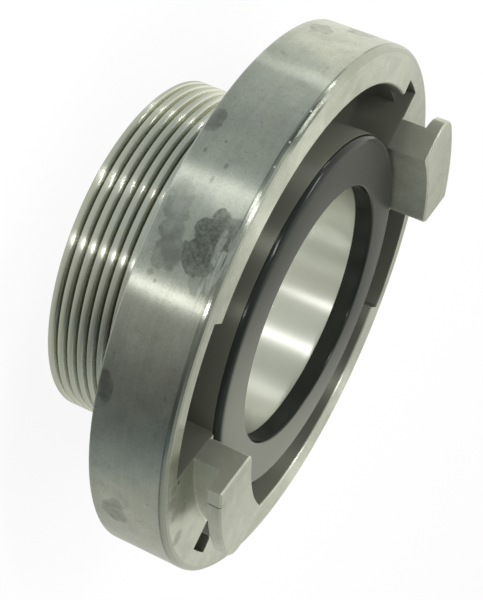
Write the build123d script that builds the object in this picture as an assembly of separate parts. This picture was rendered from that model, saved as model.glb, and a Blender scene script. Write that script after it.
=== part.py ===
from build123d import *
import os
from math import cos, hypot, radians, sin

# Quarter turn fire hose coupling: the fixed half with a male pipe thread.
# Millimetres. The part stands on the end face of its threaded nipple, the
# axis is Z, and the lugs and the rubber sealing ring point up. Angles are
# in degrees about Z, and what is at one lug is there again half a turn on.

# Lugs: a stem with a hook. The distance between the lugs is the standard
# size of such a coupling, and all radii of the claw end follow from it.
lug_count = 2
lug_inner = 40.6
stem_thickness = 7.2
hook_reach = 5.4
lug_height = 8.8
hook_under_root = 5.5
hook_under_tip = 6.0
lug_sweep = 33.8
lead_radius = 6.0
lug_corner = 2.0
lug_edge = 0.35

# Claw channel: the hooks of the other half turn in it, behind the lip
collar_inset = 0.6
channel_depth = 10.5
channel_corner = 3.5
lip_gap = 3.0
lip_thickness = 4.9
lip_edge = 0.4

# Entry windows, where the hooks of the other half drop in through the lip.
# Each window ends at the leading end of a lug.
hook_clearance = 1.5
window_start = 190.4
window_sweep = 36.2

# The undercut behind the lip stops short of the trailing end of a lug
undercut_stop = 11.0

# Run-out notch in the lip beyond the trailing end of each lug
notch_inset = 0.3
notch_sweep = 8.2
notch_depth = 3.4

# Ring: the large flange that carries the lugs
ring_wall = 4.3
ring_width = 17.0
ring_edge = 1.2
ring_back_edge = 0.4

# Nipple: male parallel pipe thread, nominal two and a half inch. It is
# turned here at the root of the thread, whose turns stand on it.
nipple_length = 23.8
thread_radius = 37.6
thread_depth = 1.48
nipple_chamfer = 0.8

# Waterway through the middle
bore_radius = 29.8
bore_edge = 0.8

# Sealing ring, and its seat in the collar round the bore
rim_width = 3.5
rim_drop = 0.6
seat_depth = 3.3
groove_reach = 1.0
groove_height = 1.2
seal_clearance = 0.1
seal_overhang = 0.8
seal_lift = 1.0
seal_flange_inset = 0.1
seal_flange_edge = 0.2
seal_shoulder = 2.1
seal_inner_edge = 0.6

# The rounded shoulders of ring and seal are turned as this many cones, and
# a cutter runs this far past what it cuts
shoulder_cones = 3
overcut = 1.0

# Radii, levels and angles that follow from the sizes
channel_inner = lug_inner - collar_inset
stem_outer = lug_inner + stem_thickness
hook_outer = stem_outer + hook_reach
lip_radius = stem_outer + lip_gap
window_radius = hook_outer + hook_clearance
notch_radius = window_radius - notch_inset
ring_radius = window_radius + ring_wall
seat_radius = channel_inner - rim_width
front = nipple_length + ring_width
seat_floor = front - seat_depth
rim_top = front - rim_drop
channel_floor = front - channel_depth
lug_start = window_start + window_sweep
lug_end = lug_start + lug_sweep
pitch_angle = 360.0 / lug_count


def turned(points, start=0.0, sweep=360.0, corner=None, corner_radius=0.0):
    """A solid of revolution from (radius, height) points."""
    face = make_face(Polyline(*points, close=True))
    if corner is not None:
        near = face.vertices().sort_by(lambda v: hypot(v.X - corner[0], v.Y - corner[1]))
        face = fillet(near[0], corner_radius)
    solid = revolve(Plane.XZ * face, axis=Axis.Z, revolution_arc=sweep)
    return solid.rotate(Axis.Z, start)


def shoulder(foot, top):
    """The points of a rounded shoulder between foot and the higher top, turned as a few cones."""
    sweeps = [radians(90 * i / shoulder_cones) for i in range(1, shoulder_cones)]
    reach = foot[0] - top[0]
    rise = top[1] - foot[1]
    return [(top[0] + reach * cos(a), foot[1] + rise * sin(a)) for a in sweeps]


def around(shape):
    """The shape at every lug position."""
    return [shape.rotate(Axis.Z, i * pitch_angle) for i in range(lug_count)]


def blank():
    """The turned blank: nipple, ring, bore, collar and seal seat."""
    root_radius = thread_radius - thread_depth
    groove_radius = seat_radius + groove_reach
    points = [
        (bore_radius + bore_edge, 0),
        (root_radius - nipple_chamfer, 0),
        (root_radius, nipple_chamfer),
        (root_radius, nipple_length),
        (ring_radius - ring_back_edge, nipple_length),
        (ring_radius, nipple_length + ring_back_edge),
        (ring_radius, front - ring_edge),
        *shoulder((ring_radius, front - ring_edge), (ring_radius - ring_edge, front)),
        (ring_radius - ring_edge, front),
        (lug_inner, front),
        (lug_inner, rim_top),
        (seat_radius, rim_top),
        (seat_radius, seat_floor + groove_height),
        (groove_radius, seat_floor + groove_height),
        (groove_radius, seat_floor),
        (bore_radius, seat_floor),
        (bore_radius, bore_edge),
    ]
    return turned(points)


def channel():
    """The open slot between collar and lip, from lug to lug."""
    top = front + overcut
    points = [
        (channel_inner, channel_floor),
        (lip_radius, channel_floor),
        (lip_radius, front - lip_edge),
        (lip_radius + lip_edge, front),
        (lip_radius + lip_edge, top),
        (channel_inner, top),
    ]
    start = lug_end - pitch_angle
    return turned(points, start, lug_start - start, (lip_radius, channel_floor), channel_corner)


def undercut():
    """The room for the hooks behind the lip."""
    points = [
        (channel_inner, channel_floor),
        (window_radius, channel_floor),
        (window_radius, front - lip_thickness),
        (channel_inner, front - lip_thickness),
    ]
    start = lug_end - pitch_angle + undercut_stop
    return turned(points, start, lug_start - start, (window_radius, channel_floor), channel_corner)


def window():
    """The entry opening beside the leading end of a lug."""
    points = [
        (channel_inner, channel_floor + channel_corner),
        (window_radius, channel_floor + channel_corner),
        (window_radius, front + overcut),
        (channel_inner, front + overcut),
    ]
    return turned(points, window_start, window_sweep)


def notch():
    """The run-out notch in the lip beyond the trailing end of a lug."""
    points = [
        (channel_inner, front - notch_depth),
        (notch_radius, front - notch_depth),
        (notch_radius, front + overcut),
        (channel_inner, front + overcut),
    ]
    return turned(points, lug_end - pitch_angle, notch_sweep)


def lug_plan():
    """The outline of a lug seen from the front, with its two rounded corners."""
    inner = CenterArc((0, 0), lug_inner, lug_start, lug_sweep)
    outer = CenterArc((0, 0), hook_outer, lug_start, lug_sweep)
    sides = [Line(inner @ 0, outer @ 0), Line(inner @ 1, outer @ 1)]
    face = make_face([inner, outer] + sides)
    for point, radius in ((inner @ 0, lug_corner), (outer @ 1, lead_radius)):
        corners = face.vertices().sort_by(lambda v: hypot(v.X - point.X, v.Y - point.Y))
        face = fillet(corners[0], radius)
    return face


def lug():
    """One lug: a stem with a hook that points outwards at its top."""
    height = lug_height + overcut
    solid = extrude(Pos(0, 0, front - overcut) * lug_plan(), height)
    top_edges = solid.faces().sort_by(Axis.Z)[-1].edges()
    solid = chamfer(top_edges, lug_edge)
    beyond = hook_outer + overcut
    slope = (hook_under_tip - hook_under_root) / (hook_outer - stem_outer)
    room = [
        (stem_outer, front),
        (beyond, front),
        (beyond, front + hook_under_root + slope * (beyond - stem_outer)),
        (stem_outer, front + hook_under_root),
    ]
    return solid - turned(room)


def coupling_body():
    """Ring, nipple and lugs, cut from one piece of stainless steel."""
    body = blank()
    for cutter in (channel(), undercut(), window(), notch()):
        body -= around(cutter)
    body += around(lug())
    return body


def sealing_ring():
    """The rubber ring: a flat face, a flange over the rim and a bead in the groove."""
    body_radius = seat_radius - seal_clearance
    bead_radius = body_radius + groove_reach
    bead_top = seat_floor + groove_height - seal_clearance
    flange_radius = channel_inner - seal_flange_inset
    seal_inner = bore_radius - seal_overhang
    face_outer = flange_radius - seal_shoulder
    face_top = front + seal_lift
    shoulder_foot = rim_top + seal_flange_edge
    points = [
        (seal_inner, seat_floor),
        (bead_radius, seat_floor),
        (bead_radius, bead_top),
        (body_radius, bead_top),
        (body_radius, rim_top),
        (flange_radius, rim_top),
        (flange_radius, shoulder_foot),
        *shoulder((flange_radius, shoulder_foot), (face_outer, face_top)),
        (face_outer, face_top),
        (seal_inner + seal_inner_edge, face_top),
        (seal_inner, face_top - seal_inner_edge),
    ]
    return turned(points)


os.makedirs("parts", exist_ok=True)
export_step(coupling_body(), "parts/coupling_body.step")
export_step(sealing_ring(), "parts/sealing_ring.step")
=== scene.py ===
import bpy
from math import cos, hypot, pi, radians, sin
from mathutils import Matrix, Vector


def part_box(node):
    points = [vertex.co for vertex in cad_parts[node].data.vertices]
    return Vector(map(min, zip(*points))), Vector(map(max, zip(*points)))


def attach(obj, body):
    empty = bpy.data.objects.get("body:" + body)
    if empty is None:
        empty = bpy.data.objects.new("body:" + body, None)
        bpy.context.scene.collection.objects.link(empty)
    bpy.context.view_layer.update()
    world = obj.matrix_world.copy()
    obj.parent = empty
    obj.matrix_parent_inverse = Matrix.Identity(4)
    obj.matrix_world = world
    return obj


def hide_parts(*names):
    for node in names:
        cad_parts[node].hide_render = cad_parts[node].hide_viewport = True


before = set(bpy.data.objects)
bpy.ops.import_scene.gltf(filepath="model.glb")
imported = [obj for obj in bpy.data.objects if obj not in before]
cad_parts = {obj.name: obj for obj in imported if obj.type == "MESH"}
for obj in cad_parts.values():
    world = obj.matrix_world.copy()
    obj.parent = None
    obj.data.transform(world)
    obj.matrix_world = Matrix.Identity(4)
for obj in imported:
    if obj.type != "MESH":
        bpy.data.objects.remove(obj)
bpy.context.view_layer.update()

scene = bpy.context.scene
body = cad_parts["coupling_body"]
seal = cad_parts["sealing_ring"]

# Sizes in metres, read from the frame where it has them. Angles are in degrees about Z.
MM = 0.001
ring_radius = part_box("coupling_body")[1].x
seal_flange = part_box("sealing_ring")[1].x
seal_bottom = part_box("sealing_ring")[0].z
seal_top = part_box("sealing_ring")[1].z
seal_lift = 1.0 * MM
ring_width = 17.0 * MM
front = seal_top - seal_lift
ring_back = front - ring_width

# Pipe thread
thread_pitch = 2.309 * MM
thread_root = 36.12 * MM
thread_crest = 37.59 * MM
thread_turns = 12
thread_length = 21.0 * MM
steps_a_turn = 120
# The tooth starts this far inside the root, and the thread this far below the nipple's end
thread_inset = 0.3 * MM
thread_start = -1.1 * thread_pitch
# The flat strip that the tooth is drawn out of is narrowed to this share
strip_share = 0.25
# The room that the thread is trimmed to
nipple_end_radius = 37.25 * MM
nipple_end_gap = 0.02 * MM
relief_chamfer = 1.3 * MM
room_margin = 0.6 * MM
room_facets = 240
# Rise over the root and width of the tooth there, as shares of depth and pitch
tooth_form = [(0.0, 0.95), (0.08, 0.92), (0.50, 0.79), (0.80, 0.69), (0.95, 0.59), (1.0, 0.44)]

# Sealing ring
seal_hole = 29.0 * MM
seal_body = 36.4 * MM
seal_bead = 37.4 * MM
seal_bead_height = 1.1 * MM
seal_flange_foot = 40.2 * MM
seal_flange_edge = 0.2 * MM
seal_shoulder = 2.1 * MM
# How far out from the face's edge and how far down the rounded shoulder goes
shoulder_form = [(1.05 * MM, 0.19 * MM), (1.82 * MM, 0.70 * MM)]
seal_inner_edge = 0.6 * MM
seal_facets = 256

# How near its place a picked edge lies, how near two points are welded, and up to which angle edges are soft
pick_slack = 0.02 * MM
weld_distance = 0.002 * MM
soft_angle = 40

# Radii at which the claw face changes its finish, and how wide the change is
bore_wall = 31.0 * MM
collar_wall = 38.5 * MM
channel_wall = 55.5 * MM
stem_foot = 48.0 * MM
blend_width = 0.5 * MM
# Height of the foot of the ring's rounded front edge
bevel_foot = front - 1.25 * MM
# Painted light: the thread's flanks get lighter from the first of these Y places to the second
flank_lit_span = (22.0 * MM, 30.0 * MM)
# Painted light: the rubber's face gets lighter from the first of these Y places to the second
face_lightens = (8.0 * MM, -30.0 * MM)

# Colours of the steel
turned_dark = (0.48, 0.50, 0.425)
turned_light = (0.60, 0.62, 0.525)
milled_brown = (0.36, 0.355, 0.28)
# Painted shade for the channel's walls and floor
channel_shade = (0.19, 0.195, 0.155)
# Painted light: the bore's steel is far lighter, standing for its bright reflections
bore_painted_light = (0.97, 0.98, 0.91)
# Painted shade over the ring's rounded front edge
bevel_shade = (0.34, 0.36, 0.30)
# Painted shade: a dark line at the foot of the rounded front edge
bevel_foot_shade = (0.17, 0.185, 0.16)
# Painted shade on a stretch of the rounded front edge
bevel_dimmed_shade = (0.12, 0.13, 0.11)
# Nicks in the front edge, painted as bright glints
nick_glint = (1.0, 1.0, 0.88)
# Painted highlight along the chamfer at the ring's back
back_edge_highlight = (0.85, 0.86, 0.80)
stain_black = (0.10, 0.11, 0.09)
scraped_bright = (0.80, 0.80, 0.72)
dirt_brown = (0.27, 0.24, 0.17)
# Painted highlight on the fillet at the stems' foot
stem_foot_highlight = (0.76, 0.78, 0.72)
# Painted shade on the thread's flanks, and painted light on them towards +Y
flank_shade = (0.36, 0.375, 0.32)
flank_lit = (0.70, 0.72, 0.62)
crest_dark = (0.71, 0.72, 0.62)
crest_light = (0.80, 0.81, 0.71)

# Colours of the rubber
rubber_dark = (0.013, 0.016, 0.013)
rubber_bloom = (0.021, 0.024, 0.020)
face_dark = (0.026, 0.030, 0.022)
face_bloom = (0.036, 0.040, 0.031)
# Painted light on the rubber's face towards -Y
face_lit = (0.20, 0.21, 0.17)

# Patterns of the steel: how fine, how many layers, and how rough
steel_patterns = {
    "lines": (2400.0, 2.0, 0.7),
    "bands": (420.0, 2.0, 0.5),
    "cloud": (70.0, 4.0, 0.6),
    "mottle": (560.0, 5.0, 0.7),
    "fine_mottle": (1500.0, 3.0, 0.65),
    "grain": (2600.0, 2.0, 0.6),
    "outline": (300.0, 4.0, 0.45),
    "tarnish": (230.0, 6.0, 0.7),
    "scratches": (200.0, 3.0, 0.55),
}
# The scratches run round the ring: they are this much finer across
scratch_squeeze = 7.0

# Tones of the turned steel: pattern, value where it starts and where it is full, strength, colour
steel_tones = [
    ("lines", 0.30, 0.75, 0.30, (0.67, 0.69, 0.60)),
    ("bands", 0.45, 0.75, 0.25, (0.43, 0.45, 0.38)),
    ("grain", 0.45, 0.75, 0.45, (0.36, 0.38, 0.32)),
    ("tarnish", 0.48, 0.66, 0.34, (0.36, 0.38, 0.33)),
    ("tarnish", 0.46, 0.34, 0.30, (0.74, 0.76, 0.69)),
]

# Stains on the ring's outside, in mm: angle, height, half size along and across the ring
dark_blotch = [
    (173.0, 36.8, 3.4, 4.0), (176.0, 35.8, 4.6, 5.2), (179.4, 35.0, 4.8, 4.8), (181.2, 35.4, 3.4, 4.2),
]
grey_patches = [
    (169.6, 26.6, 3.4, 3.0), (173.2, 27.6, 4.6, 3.6), (177.4, 28.0, 3.4, 3.2), (181.6, 29.0, 4.4, 4.0),
    (155.6, 25.4, 3.8, 2.6), (184.4, 36.4, 3.0, 2.6), (208.5, 25.4, 5.0, 2.2),
    (239.0, 29.0, 6.0, 4.0), (108.0, 33.0, 7.0, 4.0), (118.0, 28.0, 6.0, 3.0),
]
small_spots = [
    (162.0, 26.7, 0.8, 0.6), (163.4, 31.8, 0.9, 0.6), (166.7, 30.7, 1.2, 0.5), (185.8, 27.4, 1.3, 1.0),
    (186.8, 28.8, 0.8, 0.6), (159.0, 29.4, 0.5, 0.5),
]

# Other marks: the same, and off the ring's outside their radius and half size outwards too
front_mm = front / MM
ring_mm = ring_radius / MM
front_patches = [
    (228.4, front_mm, 1.6, 1.0, 55.6, 1.6), (232.0, front_mm, 2.2, 1.0, 56.4, 2.2),
    (239.0, front_mm, 1.8, 1.0, 52.4, 1.8), (237.0, front_mm, 2.2, 1.0, 55.4, 2.2),
    (246.0, front_mm, 2.4, 1.0, 56.0, 2.4),
]
# Nicks in the front edge, painted as bright glints
nicks_and_glints = [(angle, front_mm - 0.9, 0.40, 0.30, ring_mm - 0.2, 1.0) for angle in (146.3, 154.4, 160.1)]
# A stretch of the front edge darkened with painted shade: angle, height, half size along and across
shaded_edge_stretch = (149.0, front_mm - 0.6, 9.0, 3.0)
scraped_band = (180.5, front_mm - 2.3, 11.0, 2.6)
chipped_lip = (227.7, front_mm, 0.7, 0.8, 53.9, 0.5)
scribed_line = (231.1, front_mm + 7.6, 0.22, 2.6, 53.2, 2.5)

# How light the room is on each side of the coupling, by angle round it, and how cool its light is
room_sides = [
    (6, 0.74, 0.0), (17, 0.98, 0.0), (30, 1.14, 0.0), (44, 1.08, 0.0), (88, 1.10, 0.0),
    (95, 0.68, 0.8), (100, 0.62, 0.6), (110, 0.37, 0.9), (132, 0.34, 0.9), (150, 0.44, 0.8),
    (185, 0.42, 0.6), (205, 0.30, 0.2), (224, 0.12, 0.3), (240, 0.06, 1.0), (250, 0.20, 2.4),
    (262, 0.44, 0.4), (300, 0.58, 0.1), (328, 0.72, 0.1), (342, 0.84, 0.0),
]
warm_light = Vector((1.0, 0.995, 0.92))
cool_light = Vector((0.88, 1.0, 1.02))

# Lamps: angle round the coupling, angle above its front, width, height, power
lamp_distance = 0.8
lamps = {
    "soft_top": (60, 62, 0.9, 0.7, 0.55),
    "strip_left": (92.7, 40, 0.05, 0.30, 0.9),
    "strip_middle": (150.5, 40, 0.045, 0.30, 1.6),
    "strip_right": (194.7, 14, 0.035, 0.42, 0.80),
    "low_left": (92.7, 4, 0.055, 0.07, 0.19),
    "low_middle": (150.5, 4, 0.055, 0.07, 0.20),
}

# Floor and background
floor_size = 6.0
floor_grey = (0.85, 0.85, 0.84)
floor_white = (1.05, 1.05, 1.05)
floor_glow = (0.60, 0.62, 0.55)
glow_reach = (34 * MM, 60 * MM)
glow_share = 0.85
sky_white = (0.95, 0.95, 0.95)
sky_fill = (0.6, 0.6, 0.6)

# Camera at the photograph's place: where it is, and which way its three axes point
camera_lens = 95.775
camera_sensor = 36.0
camera_nearest = 0.01
camera_place = (-0.323717, -0.010844, 0.131420)
camera_right = (0.274933, 0.396994, 0.875675)
camera_up = (-0.143834, 0.917507, -0.370800)
camera_back = (-0.950644, -0.024006, 0.309354)


def add_camera():
    data = bpy.data.cameras.new("camera")
    data.sensor_width = camera_sensor
    data.lens = camera_lens
    data.clip_start = camera_nearest
    camera = bpy.data.objects.new("camera", data)
    scene.collection.objects.link(camera)
    turn = Matrix((camera_right, camera_up, camera_back)).transposed().to_4x4()
    camera.matrix_world = Matrix.Translation(camera_place) @ turn
    scene.camera = camera


class Sheet:
    """A sheet of nodes, for a material or for the world."""

    def __init__(self, tree):
        self.tree = tree
        self.shader = tree.nodes.get("Principled BSDF")
        self.coords = self.add("ShaderNodeTexCoord")
        self.place = self.coords.outputs["Object"]

    def add(self, kind, **settings):
        node = self.tree.nodes.new(kind)
        for key, value in settings.items():
            setattr(node, key, value)
        return node

    def put(self, socket, value):
        if isinstance(value, bpy.types.NodeSocket):
            self.tree.links.new(value, socket)
        elif isinstance(value, tuple) and socket.type == "RGBA":
            socket.default_value = value + (1.0,)
        else:
            socket.default_value = value

    def set(self, name, value):
        self.put(self.shader.inputs[name], value)

    def maths(self, operation, a, b=0.0):
        node = self.add("ShaderNodeMath", operation=operation)
        self.put(node.inputs[0], a)
        self.put(node.inputs[1], b)
        return node.outputs[0]

    def plus(self, a, b):
        return self.maths("ADD", a, b)

    def minus(self, a, b):
        return self.maths("SUBTRACT", a, b)

    def times(self, a, b):
        return self.maths("MULTIPLY", a, b)

    def most(self, a, b):
        return self.maths("MAXIMUM", a, b)

    def apart(self, a, b):
        """How far apart two values are."""
        return self.maths("ABSOLUTE", self.minus(a, b))

    def vector(self, operation, a, b=None):
        node = self.add("ShaderNodeVectorMath", operation=operation)
        self.put(node.inputs[0], a)
        if b is not None:
            self.put(node.inputs[1], b)
        return node.outputs["Value" if operation in ("DOT_PRODUCT", "LENGTH") else 0]

    def ramp(self, value, low, high, to_low=0.0, to_high=1.0):
        """Goes smoothly from to_low to to_high while value goes from low to high."""
        node = self.add("ShaderNodeMapRange", interpolation_type="SMOOTHSTEP")
        self.put(node.inputs["Value"], value)
        self.put(node.inputs["From Min"], low)
        self.put(node.inputs["From Max"], high)
        self.put(node.inputs["To Min"], to_low)
        self.put(node.inputs["To Max"], to_high)
        return node.outputs["Result"]

    def noise(self, vector, scale, detail, roughness):
        node = self.add("ShaderNodeTexNoise")
        self.put(node.inputs["Vector"], vector)
        self.put(node.inputs["Scale"], scale)
        self.put(node.inputs["Detail"], detail)
        self.put(node.inputs["Roughness"], roughness)
        return node.outputs["Fac"]

    def split(self, vector):
        node = self.add("ShaderNodeSeparateXYZ")
        self.put(node.inputs[0], vector)
        return node.outputs

    def join(self, x, y, z):
        node = self.add("ShaderNodeCombineXYZ")
        for socket, value in zip(node.inputs, (x, y, z)):
            self.put(socket, value)
        return node.outputs[0]

    def mix(self, share, a, b):
        node = self.add("ShaderNodeMix", data_type="RGBA")
        self.put(node.inputs["Factor"], share)
        self.put(node.inputs["A"], a)
        self.put(node.inputs["B"], b)
        return node.outputs["Result"]

    def bump(self, height, strength, distance):
        node = self.add("ShaderNodeBump")
        self.put(node.inputs["Height"], height)
        self.put(node.inputs["Strength"], strength)
        self.put(node.inputs["Distance"], distance)
        self.set("Normal", node.outputs[0])

    def measure(self):
        """Where a point of the piece lies, and how far from the axis."""
        self.x, self.y, self.z = self.split(self.place)
        self.radius = self.vector("LENGTH", self.join(self.x, self.y, 0.0))

    def spot(self, angle, height, along, across, radius=ring_mm, deep=9.0):
        """A soft spot: 1 in its middle, 0 at its edge. Angle in degrees, the rest in mm."""
        turn = radians(angle)
        middle = (radius * cos(turn) * MM, radius * sin(turn) * MM, height * MM)
        node = self.add("ShaderNodeMapping", vector_type="TEXTURE")
        self.put(node.inputs["Vector"], self.place)
        self.put(node.inputs["Location"], middle)
        self.put(node.inputs["Rotation"], (0.0, 0.0, turn))
        self.put(node.inputs["Scale"], (deep * MM, along * MM, across * MM))
        ball = self.add("ShaderNodeTexGradient", gradient_type="SPHERICAL")
        self.put(ball.inputs["Vector"], node.outputs[0])
        return ball.outputs["Fac"]

    def spots(self, marks):
        """The soft spots of a list, as one mask."""
        mask = 0.0
        for mark in marks:
            mask = self.most(mask, self.spot(*mark))
        return mask

    def stain(self, marks, wobble, low, high):
        """The spots of a list, grown together and with an irregular outline."""
        mask = self.spots(marks)
        ragged = self.times(self.minus(wobble, 0.5), 1.2)
        ragged = self.times(ragged, self.ramp(mask, 0.0, 0.25))
        return self.ramp(self.plus(mask, ragged), low, high)

    def brushed(self, tangent):
        """Stretches the reflections across the turning lines."""
        self.set("Anisotropic", 1.0)
        self.set("Anisotropic Rotation", 0.25)
        self.set("Tangent", tangent)


def new_material(name):
    material = bpy.data.materials.new(name)
    material.use_nodes = True
    sheet = Sheet(material.node_tree)
    sheet.measure()
    return material, sheet


def turning_lines(sheet):
    """The direction in which the lathe's lines run."""
    return sheet.add("ShaderNodeTangent", direction_type="RADIAL", axis="Z").outputs[0]


def milled_faces(sheet):
    """1 on the faces that look along the turning lines, as the ends of the lugs do."""
    normal = sheet.add("ShaderNodeNewGeometry").outputs["True Normal"]
    along = sheet.vector("CROSS_PRODUCT", (0.0, 0.0, 1.0), sheet.vector("NORMALIZE", sheet.place))
    facing = sheet.maths("ABSOLUTE", sheet.vector("DOT_PRODUCT", normal, along))
    return sheet.ramp(facing, 0.55, 0.6)


def tool_marks(sheet, milled):
    """The direction of the tool's marks: the turning lines, and upright on the milled faces."""
    node = sheet.add("ShaderNodeMix", data_type="VECTOR")
    sheet.put(node.inputs["Factor"], milled)
    sheet.put(node.inputs[4], turning_lines(sheet))
    sheet.put(node.inputs[5], (0.0, 0.0, 1.0))
    return node.outputs[1]


def draw_patterns(sheet):
    """The steel's patterns: lines and bands go round it, scratches too, the others lie anyhow."""
    around = sheet.join(sheet.radius, 0.0, sheet.z)
    squeezed = sheet.join(sheet.x, sheet.y, sheet.times(sheet.z, scratch_squeeze))
    grounds = {"lines": around, "bands": around, "scratches": squeezed}
    drawn = {}
    for name, form in steel_patterns.items():
        drawn[name] = sheet.noise(grounds.get(name, sheet.place), *form)
    return drawn


def machined_tone(sheet, patterns, milled):
    """The colour of the clean steel, turned or milled."""
    metal = sheet.mix(sheet.ramp(patterns["cloud"], 0.3, 0.7), turned_dark, turned_light)
    for name, low, high, strength, colour in steel_tones:
        metal = sheet.mix(sheet.ramp(patterns[name], low, high, 0.0, strength), metal, colour)
    return sheet.mix(sheet.times(milled, 0.6), metal, milled_brown)


def bright_places(sheet):
    """0 on the walls and the floor of the channel, which get painted shade and a rougher, less metallic
    finish than what is turned last.
    """
    outside = sheet.ramp(sheet.radius, channel_wall - blend_width, channel_wall + blend_width)
    above = sheet.ramp(sheet.z, front - 0.35 * MM, front - 0.1 * MM)
    inside = sheet.ramp(sheet.radius, collar_wall + blend_width, collar_wall - blend_width)
    return sheet.most(sheet.most(outside, above), inside)


def shade_front_edge(sheet, metal, cloud, outside, on_bevel):
    """The ring's rounded front edge: painted shade as a dark line at its foot, over the edge and on a darker
    stretch, and a few nicks painted as bright glints.
    """
    # painted shade: a dark line at the foot of the rounded edge
    line = sheet.ramp(sheet.apart(sheet.z, bevel_foot), 0.28 * MM, 0.08 * MM)
    line = sheet.times(sheet.times(line, outside), sheet.ramp(cloud, 0.35, 0.6, 0.35, 0.85))
    metal = sheet.mix(line, metal, bevel_foot_shade)
    # painted shade over the rounded front edge
    metal = sheet.mix(sheet.times(on_bevel, 0.7), metal, bevel_shade)
    # painted shade on a stretch of the rounded edge, dimming its highlight
    edge_dimming = sheet.ramp(sheet.spot(*shaded_edge_stretch), 0.0, 0.5, 0.0, 0.85)
    metal = sheet.mix(sheet.times(edge_dimming, on_bevel), metal, bevel_dimmed_shade)
    # nicks, painted as bright glints
    return sheet.mix(sheet.ramp(sheet.spots(nicks_and_glints), 0.1, 0.6), metal, nick_glint)


def ring_grime(sheet, patterns, outside):
    """How stained the ring's outside is: the dark blotch, the grey patches, spots and specks."""
    tarnish = patterns["tarnish"]
    mottle = patterns["mottle"]
    blotch = sheet.stain(dark_blotch, patterns["outline"], 0.22, 0.34)
    blotch = sheet.times(blotch, sheet.ramp(tarnish, 0.4, 0.6, 0.55, 0.80))
    blotch = sheet.times(blotch, sheet.ramp(patterns["fine_mottle"], 0.3, 0.7, 0.65, 1.05))
    patches = sheet.stain(grey_patches, patterns["outline"], 0.20, 0.36)
    patches = sheet.times(patches, sheet.ramp(tarnish, 0.4, 0.6, 0.24, 0.42))
    spots = sheet.times(sheet.stain(small_spots, mottle, 0.15, 0.7), 0.42)
    specks = sheet.times(sheet.ramp(mottle, 0.60, 0.70), 0.30)
    grime = sheet.most(sheet.most(blotch, patches), sheet.most(spots, specks))
    return sheet.times(grime, outside)


def front_grime(sheet, mottle, on_front):
    """How stained the front is: dull patches, a chip in the lip and a line scribed on the lug."""
    patches = sheet.times(sheet.stain(front_patches, mottle, 0.1, 0.5), on_front)
    chip = sheet.ramp(sheet.spot(*chipped_lip), 0.1, 0.4)
    line = sheet.ramp(sheet.spot(*scribed_line), 0.0, 0.3, 0.0, 0.8)
    return sheet.most(sheet.times(patches, 0.30), sheet.most(chip, line))


def scrape_ring(sheet, metal, scratches):
    """The scraped band along the front edge, bright and dirty by turns."""
    band = sheet.ramp(sheet.spot(*scraped_band), 0.0, 0.4)
    scraped = sheet.times(band, sheet.ramp(scratches, 0.50, 0.60))
    metal = sheet.mix(sheet.times(scraped, 0.45), metal, scraped_bright)
    dirt = sheet.times(band, sheet.ramp(scratches, 0.46, 0.38))
    return sheet.mix(sheet.times(dirt, 0.45), metal, dirt_brown)


def turned_steel():
    """Stainless steel off the lathe: turning lines, painted shade and a duller finish in the channel,
    painted light in the bore, painted shade and highlights on its edges, stained on the ring's outside.
    """
    material, sheet = new_material("turned_steel")
    radius = sheet.radius
    z = sheet.z
    patterns = draw_patterns(sheet)
    cloud = patterns["cloud"]
    milled = milled_faces(sheet)
    bright = bright_places(sheet)
    in_bore = sheet.ramp(radius, bore_wall + blend_width, bore_wall - blend_width)
    on_front = sheet.ramp(z, front - 0.3 * MM, front - 0.1 * MM)
    outside = sheet.ramp(radius, ring_radius - 0.8 * MM, ring_radius - 0.1 * MM)
    on_bevel = sheet.ramp(radius, ring_radius - 1.5 * MM, ring_radius - 1.2 * MM)
    on_bevel = sheet.times(on_bevel, sheet.ramp(z, front - 1.2 * MM, front - 1.0 * MM))

    metal = machined_tone(sheet, patterns, milled)
    # painted shade on the channel's walls and floor
    metal = sheet.mix(bright, channel_shade, metal)
    # painted light in the bore, standing for its bright reflections
    metal = sheet.mix(in_bore, metal, bore_painted_light)
    metal = shade_front_edge(sheet, metal, cloud, outside, on_bevel)

    # a painted highlight along the chamfer at the ring's back
    back_edge = sheet.times(sheet.ramp(z, ring_back + 0.5 * MM, ring_back + 0.3 * MM), outside)
    metal = sheet.mix(back_edge, metal, back_edge_highlight)

    # stains, and the scraped band over them
    between_edges = sheet.times(outside, sheet.ramp(z, ring_back + 0.1 * MM, ring_back + 0.6 * MM))
    grime = ring_grime(sheet, patterns, between_edges)
    grime = sheet.most(grime, front_grime(sheet, patterns["mottle"], on_front))
    metal = sheet.mix(grime, metal, stain_black)
    metal = scrape_ring(sheet, metal, patterns["scratches"])

    # a painted highlight on the fillet where the stems rise out of the front
    foot = sheet.times(sheet.ramp(sheet.apart(radius, stem_foot), 0.24 * MM, 0.10 * MM), on_front)
    foot = sheet.times(foot, sheet.ramp(z, front + 0.6 * MM, front + 0.3 * MM))
    metal = sheet.mix(foot, metal, stem_foot_highlight)

    metallic = sheet.minus(sheet.ramp(bright, 0.0, 1.0, 0.55, 1.0), sheet.times(milled, 0.3))
    rough = sheet.plus(sheet.ramp(cloud, 0.2, 0.8, 0.26, 0.32), sheet.times(grime, 0.15))
    rough = sheet.plus(rough, sheet.times(in_bore, 0.07))
    rough = sheet.plus(rough, sheet.times(milled, 0.20))
    rough = sheet.minus(rough, sheet.times(on_bevel, 0.04))
    rough = sheet.plus(rough, sheet.ramp(bright, 0.0, 1.0, 0.15, 0.0))
    sheet.set("Base Color", metal)
    sheet.set("Metallic", sheet.most(metallic, 0.5))
    sheet.set("Roughness", rough)
    sheet.brushed(tool_marks(sheet, milled))
    sheet.bump(sheet.plus(patterns["lines"], sheet.times(patterns["grain"], 0.6)), 0.10, 0.05 * MM)
    return material


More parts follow.
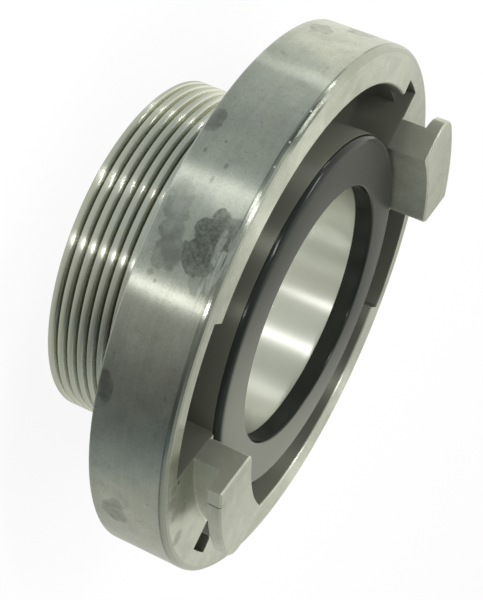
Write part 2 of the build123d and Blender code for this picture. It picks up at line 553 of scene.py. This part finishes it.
def thread_steel():
    """The thread's turns, cut clean and shinier than the ring, with painted shade on the flanks that painted
    light lightens towards +Y.
    """
    material, sheet = new_material("thread_steel")
    cloud = sheet.noise(sheet.place, 120.0, 4.0, 0.6)
    depth = sheet.ramp(sheet.radius, thread_root, thread_crest - 0.3 * MM)
    # painted shade on the flanks, lightened by painted light towards +Y
    flank = sheet.mix(sheet.ramp(sheet.y, *flank_lit_span), flank_shade, flank_lit)
    crest = sheet.mix(cloud, crest_dark, crest_light)
    sheet.set("Base Color", sheet.mix(depth, flank, crest))
    sheet.set("Metallic", 1.0)
    sheet.set("Roughness", sheet.ramp(cloud, 0.2, 0.8, 0.23, 0.29))
    sheet.brushed(turning_lines(sheet))
    return material


def black_rubber():
    """Moulded rubber with a faint bloom: glossy on its shoulder, duller on its face, and lighter on the face
    towards -Y with painted light.
    """
    material, sheet = new_material("black_rubber")
    bloom = sheet.noise(sheet.place, 90.0, 4.0, 0.6)
    on_face = sheet.ramp(sheet.z, seal_top - 0.3 * MM, seal_top)
    rubber = sheet.mix(bloom, rubber_dark, rubber_bloom)
    face = sheet.mix(bloom, face_dark, face_bloom)
    # painted light on the face towards -Y
    face = sheet.mix(sheet.ramp(sheet.y, *face_lightens), face, face_lit)
    sheet.set("Base Color", sheet.mix(on_face, rubber, face))
    sheet.set("Roughness", sheet.ramp(on_face, 0.0, 1.0, 0.15, 0.38))
    sheet.set("Specular IOR Level", 0.20)
    sheet.bump(sheet.noise(sheet.place, 900.0, 2.0, 0.5), 0.06, 0.2 * MM)
    return material


def start_editing(piece):
    bpy.ops.object.select_all(action="DESELECT")
    piece.select_set(True)
    bpy.context.view_layer.objects.active = piece
    bpy.ops.object.mode_set(mode="EDIT")


def done_editing():
    bpy.ops.object.mode_set(mode="OBJECT")


def pick_edges(piece, wanted):
    """Selects the edges whose two ends the test accepts, in edit mode."""
    bpy.ops.object.mode_set(mode="OBJECT")
    mesh = piece.data
    for part in (*mesh.polygons, *mesh.edges, *mesh.vertices):
        part.select = False
    for edge in mesh.edges:
        edge.select = all(wanted(mesh.vertices[i].co) for i in edge.vertices)
    bpy.ops.object.mode_set(mode="EDIT")
    bpy.ops.mesh.select_mode(type="EDGE")


def near(value, target):
    return abs(value - target) < pick_slack


def dress(piece, material):
    piece.data.materials.clear()
    piece.data.materials.append(material)


def finish_piece(piece, material):
    """Faces outward, soft shading but for its edges, and its place on the part."""
    start_editing(piece)
    bpy.ops.mesh.select_all(action="SELECT")
    bpy.ops.mesh.remove_doubles(threshold=weld_distance)
    bpy.ops.mesh.normals_make_consistent(inside=False)
    done_editing()
    bpy.ops.object.shade_smooth_by_angle(angle=radians(soft_angle))
    dress(piece, material)
    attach(piece, "root")


def add_sealing_ring(material):
    """The rubber ring, drawn up loop by loop from its inner foot and closed under the bead."""
    face_edge = seal_flange - seal_shoulder
    section = [
        (seal_hole, seal_top),
        (face_edge, seal_top),
        *((face_edge + out, seal_top - down) for out, down in shoulder_form),
        (seal_flange, seal_flange_foot + seal_flange_edge),
        (seal_flange, seal_flange_foot),
        (seal_body, seal_flange_foot),
        (seal_body, seal_bottom + seal_bead_height),
        (seal_bead, seal_bottom + seal_bead_height),
        (seal_bead, seal_bottom),
    ]
    bpy.ops.object.select_all(action="DESELECT")
    foot = (0, 0, seal_bottom)
    bpy.ops.mesh.primitive_circle_add(vertices=seal_facets, radius=seal_hole, location=foot)
    ring = bpy.context.object
    ring.name = "seal_ring"
    bpy.ops.object.transform_apply(location=True, rotation=True, scale=True)
    start_editing(ring)
    bpy.ops.mesh.select_all(action="SELECT")
    radius, height = seal_hole, seal_bottom
    for next_radius, next_height in section:
        rise = (0, 0, next_height - height)
        bpy.ops.mesh.extrude_edges_move(TRANSFORM_OT_translate={"value": rise})
        grow = next_radius / radius
        bpy.ops.transform.resize(value=(grow, grow, 1), center_override=(0, 0, next_height))
        radius, height = next_radius, next_height
    pick_edges(ring, lambda p: near(p.z, seal_bottom))
    bpy.ops.mesh.bridge_edge_loops()
    pick_edges(ring, lambda p: near(p.z, seal_top) and near(hypot(p.x, p.y), seal_hole))
    bpy.ops.mesh.bevel(offset=seal_inner_edge, segments=4, profile=0.5)
    done_editing()
    finish_piece(ring, material)
    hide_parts("sealing_ring")


def thread_room():
    """The room that the thread may take: chamfered at the nipple's end and at the relief before the ring."""
    bpy.ops.object.select_all(action="DESELECT")
    wide = thread_crest + room_margin
    tall = thread_length - nipple_end_gap
    middle = (0, 0, nipple_end_gap + tall / 2)
    bpy.ops.mesh.primitive_cylinder_add(vertices=room_facets, radius=wide, depth=tall, location=middle)
    room = bpy.context.object
    bpy.ops.object.transform_apply(location=True, rotation=True, scale=True)
    start_editing(room)
    pick_edges(room, lambda p: near(p.z, nipple_end_gap))
    bpy.ops.mesh.bevel(offset=wide - nipple_end_radius, offset_type="OFFSET", segments=1)
    pick_edges(room, lambda p: near(p.z, thread_length))
    bpy.ops.mesh.bevel(offset=relief_chamfer, offset_type="OFFSET", segments=1)
    done_editing()
    return room


def draw_tooth():
    """The section of one tooth: an open line, drawn out of a flat strip by its outer edge."""
    bpy.ops.object.select_all(action="DESELECT")
    inside = thread_root - thread_inset
    place = (inside - thread_pitch / 2, 0, thread_start)
    bpy.ops.mesh.primitive_plane_add(size=thread_pitch, location=place, rotation=(pi / 2, 0, 0))
    tooth = bpy.context.object
    tooth.name = "pipe_thread"
    bpy.ops.object.transform_apply(location=True, rotation=True, scale=True)
    start_editing(tooth)
    width = tooth_form[0][1]
    bpy.ops.mesh.select_all(action="SELECT")
    bpy.ops.transform.resize(value=(strip_share, 1, width), center_override=(inside, 0, thread_start))
    pick_edges(tooth, lambda p: near(p.x, inside))
    at = inside
    for rise, share in tooth_form:
        out = thread_root + (thread_crest - thread_root) * rise
        bpy.ops.mesh.extrude_edges_move(TRANSFORM_OT_translate={"value": (out - at, 0, 0)})
        bpy.ops.transform.resize(value=(1, 1, share / width), center_override=(out, 0, thread_start))
        at, width = out, share
    bpy.ops.mesh.select_all(action="SELECT")
    bpy.ops.mesh.dissolve_faces()
    bpy.ops.mesh.delete(type="ONLY_FACE")
    done_editing()
    return tooth


def add_thread(material):
    """One tooth wound up the nipple, closed, and trimmed at both ends."""
    tooth = draw_tooth()
    wind = tooth.modifiers.new("wind", "SCREW")
    wind.axis = "Z"
    wind.angle = 2 * pi * thread_turns
    wind.screw_offset = thread_pitch * thread_turns
    wind.steps = steps_a_turn * thread_turns
    wind.render_steps = steps_a_turn * thread_turns
    wind.use_merge_vertices = False
    bpy.ops.object.modifier_apply(modifier=wind.name)
    start_editing(tooth)
    bpy.ops.mesh.select_all(action="SELECT")
    bpy.ops.mesh.fill_holes(sides=0)
    bpy.ops.mesh.normals_make_consistent(inside=False)
    done_editing()

    room = thread_room()
    bpy.ops.object.select_all(action="DESELECT")
    tooth.select_set(True)
    bpy.context.view_layer.objects.active = tooth
    trim = tooth.modifiers.new("trim", "BOOLEAN")
    trim.operation = "INTERSECT"
    trim.solver = "EXACT"
    trim.object = room
    bpy.ops.object.modifier_apply(modifier=trim.name)
    bpy.data.objects.remove(room)
    finish_piece(tooth, material)


def room_light(sheet, vector):
    """How light the room is in each direction, which the metal shows round its turned faces."""
    turn = sheet.add("ShaderNodeTexGradient", gradient_type="RADIAL")
    sheet.put(turn.inputs["Vector"], vector)
    ramp = sheet.add("ShaderNodeValToRGB")
    sheet.put(ramp.inputs["Fac"], turn.outputs["Fac"])
    stops = ramp.color_ramp.elements
    ramp.color_ramp.interpolation = "EASE"
    while len(stops) < len(room_sides):
        stops.new(0.5)
    sides = sorted(((side / 360 + 0.5) % 1.0, light, cool) for side, light, cool in room_sides)
    for stop, (side, light, cool) in zip(stops, sides):
        stop.position = side
        stop.color = (*(warm_light.lerp(cool_light, cool) * light), 1.0)
    return ramp.outputs["Color"]


def add_floor():
    """A pale floor that carries the shadow, and that the metal and the camera see as background."""
    bpy.ops.object.select_all(action="DESELECT")
    bpy.ops.mesh.primitive_plane_add(size=floor_size, location=(0, 0, 0))
    floor = bpy.context.object
    floor.name = "floor"
    material = bpy.data.materials.new("pale_floor")
    material.use_nodes = True
    material.node_tree.nodes.clear()
    sheet = Sheet(material.node_tree)
    path = sheet.add("ShaderNodeLightPath").outputs
    seen = sheet.most(path["Is Camera Ray"], path["Is Glossy Ray"])
    seen = sheet.most(seen, path["Is Transmission Ray"])
    away = sheet.ramp(sheet.vector("LENGTH", sheet.place), *glow_reach)
    mirrored = sheet.mix(away, floor_glow, room_light(sheet, sheet.place))
    glow = sheet.add("ShaderNodeEmission")
    sheet.put(glow.inputs["Color"], sheet.mix(path["Is Camera Ray"], mirrored, floor_white))
    lit = sheet.add("ShaderNodeBsdfDiffuse")
    sheet.put(lit.inputs["Color"], floor_grey)
    both = sheet.add("ShaderNodeMixShader")
    sheet.put(both.inputs[0], sheet.times(seen, glow_share))
    sheet.put(both.inputs[1], lit.outputs[0])
    sheet.put(both.inputs[2], glow.outputs[0])
    out = sheet.add("ShaderNodeOutputMaterial")
    sheet.put(out.inputs["Surface"], both.outputs[0])
    floor.data.materials.append(material)


def add_world():
    """Plain light from all round, white to the camera and uneven to the metal."""
    world = bpy.data.worlds.new("studio")
    scene.world = world
    world.use_nodes = True
    world.node_tree.nodes.clear()
    sheet = Sheet(world.node_tree)
    path = sheet.add("ShaderNodeLightPath").outputs
    around = room_light(sheet, sheet.coords.outputs["Generated"])
    light = sheet.mix(path["Is Glossy Ray"], sky_fill, around)
    sky = sheet.add("ShaderNodeBackground")
    sheet.put(sky.inputs["Color"], sheet.mix(path["Is Camera Ray"], light, sky_white))
    sheet.put(sky.inputs["Strength"], 1.0)
    out = sheet.add("ShaderNodeOutputWorld")
    sheet.put(out.inputs["Surface"], sky.outputs[0])


def add_lamp(name, side, height, width, tall, power):
    """A soft box at that side of the coupling and height above it, both in degrees."""
    data = bpy.data.lights.new(name, "AREA")
    data.shape = "RECTANGLE"
    data.size = width
    data.size_y = tall
    data.energy = power
    lamp = bpy.data.objects.new(name, data)
    scene.collection.objects.link(lamp)
    turn, rise = radians(side), radians(height)
    away = Vector((cos(rise) * cos(turn), cos(rise) * sin(turn), sin(rise)))
    lamp.location = Vector((0, 0, front)) + away * lamp_distance
    lamp.rotation_euler = away.to_track_quat("Z", "Y").to_euler()


add_camera()
rubber = black_rubber()
dress(body, turned_steel())
dress(seal, rubber)
add_thread(thread_steel())
add_sealing_ring(rubber)
add_floor()
add_world()
for name, form in lamps.items():
    add_lamp(name, *form)

scene.view_settings.view_transform = "Standard"
